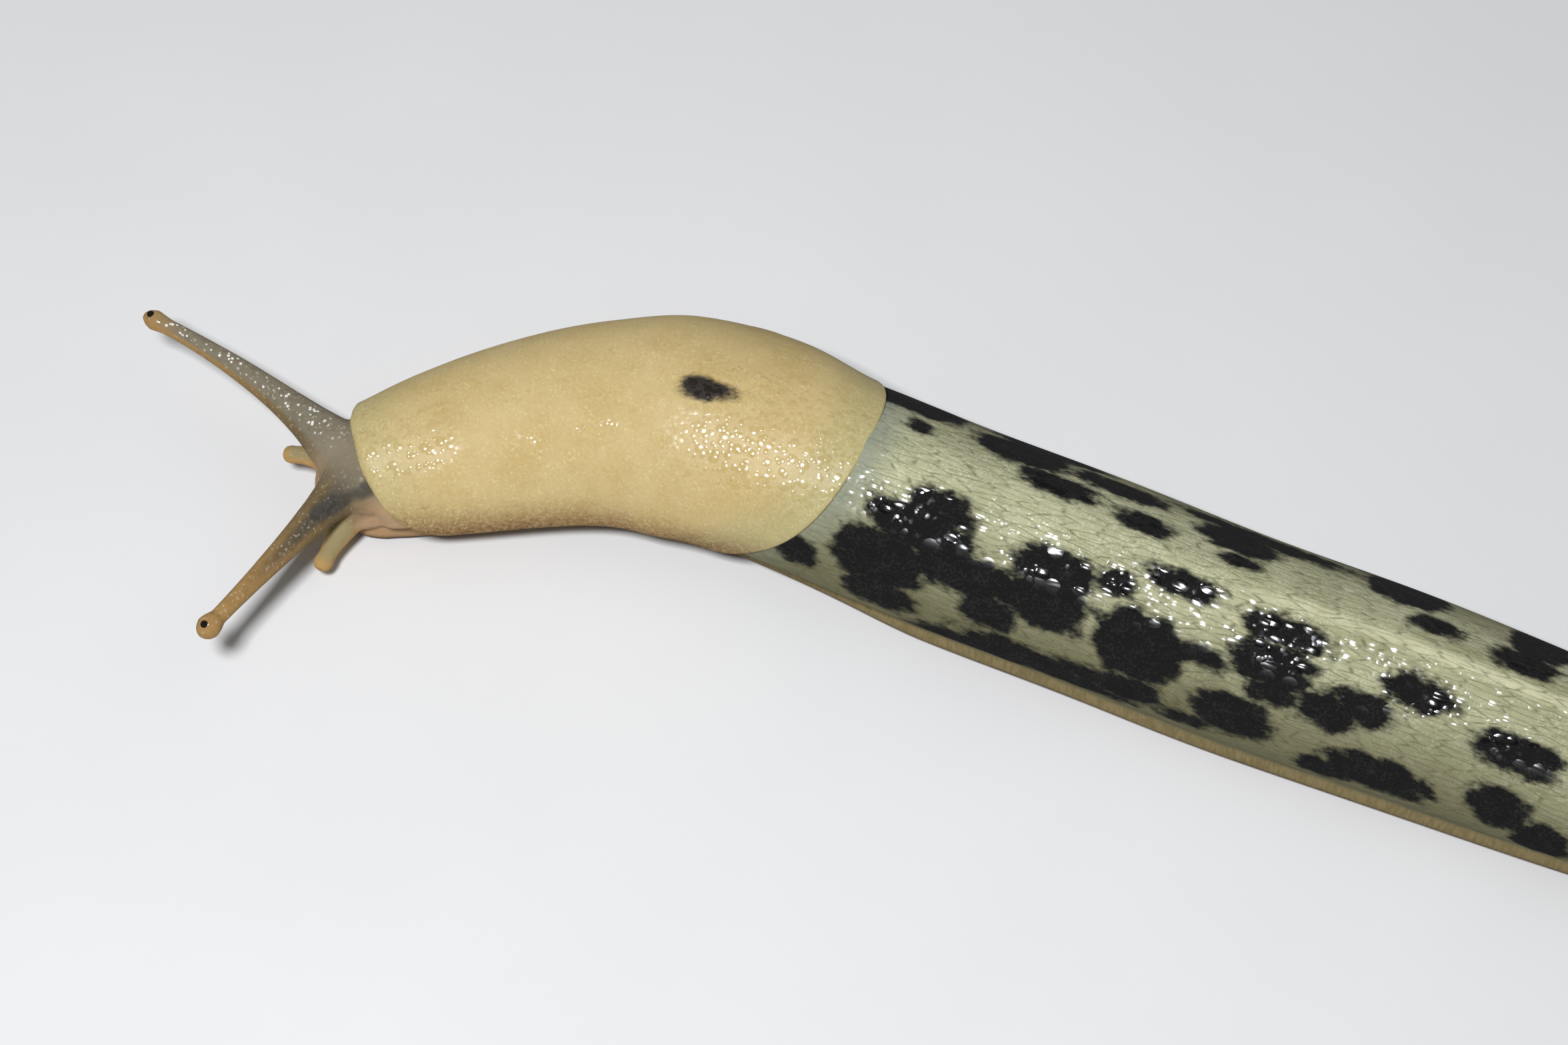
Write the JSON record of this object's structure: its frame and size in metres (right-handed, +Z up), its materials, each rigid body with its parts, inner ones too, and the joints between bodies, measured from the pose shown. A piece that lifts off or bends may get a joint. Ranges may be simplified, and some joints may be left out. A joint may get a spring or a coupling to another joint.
{
  "type": "banana slug",
  "caption": "Life-size still model of a spotted banana slug, crawling with its head turned to its left and its tentacles out.",
  "frame": {"origin": "bottom centre of the bounding box, on the floor under the sole", "axes": "+Z up, +X from the head to the tail, +Y the animal's right side"},
  "size_m": [0.1598, 0.0376, 0.0131],
  "materials": {
    "head": "moist skin, glossy",
    "neck": "moist skin, glossy",
    "mantle": "moist skin, glossy",
    "trunk": "moist furrowed skin with dark blotches",
    "foot": "moist skin",
    "tentacle": "moist, slightly translucent skin",
    "eye": "wet gloss"
  },
  "bodies": {
    "root": {"head": "head", "neck": "neck", "mantle": "mantle", "trunk_front": "trunk", "trunk_middle": "trunk", "trunk_rear": "trunk", "tail": "trunk", "foot_front": "foot", "foot_middle": "foot", "foot_rear": "foot", "tentacle_upper_left": "tentacle", "tentacle_upper_right": "tentacle", "tentacle_lower_left": "tentacle", "tentacle_lower_right": "tentacle", "bulb_left": "tentacle", "bulb_right": "tentacle", "eye_left": "eye", "eye_right": "eye"}
  },
  "joints": []
}
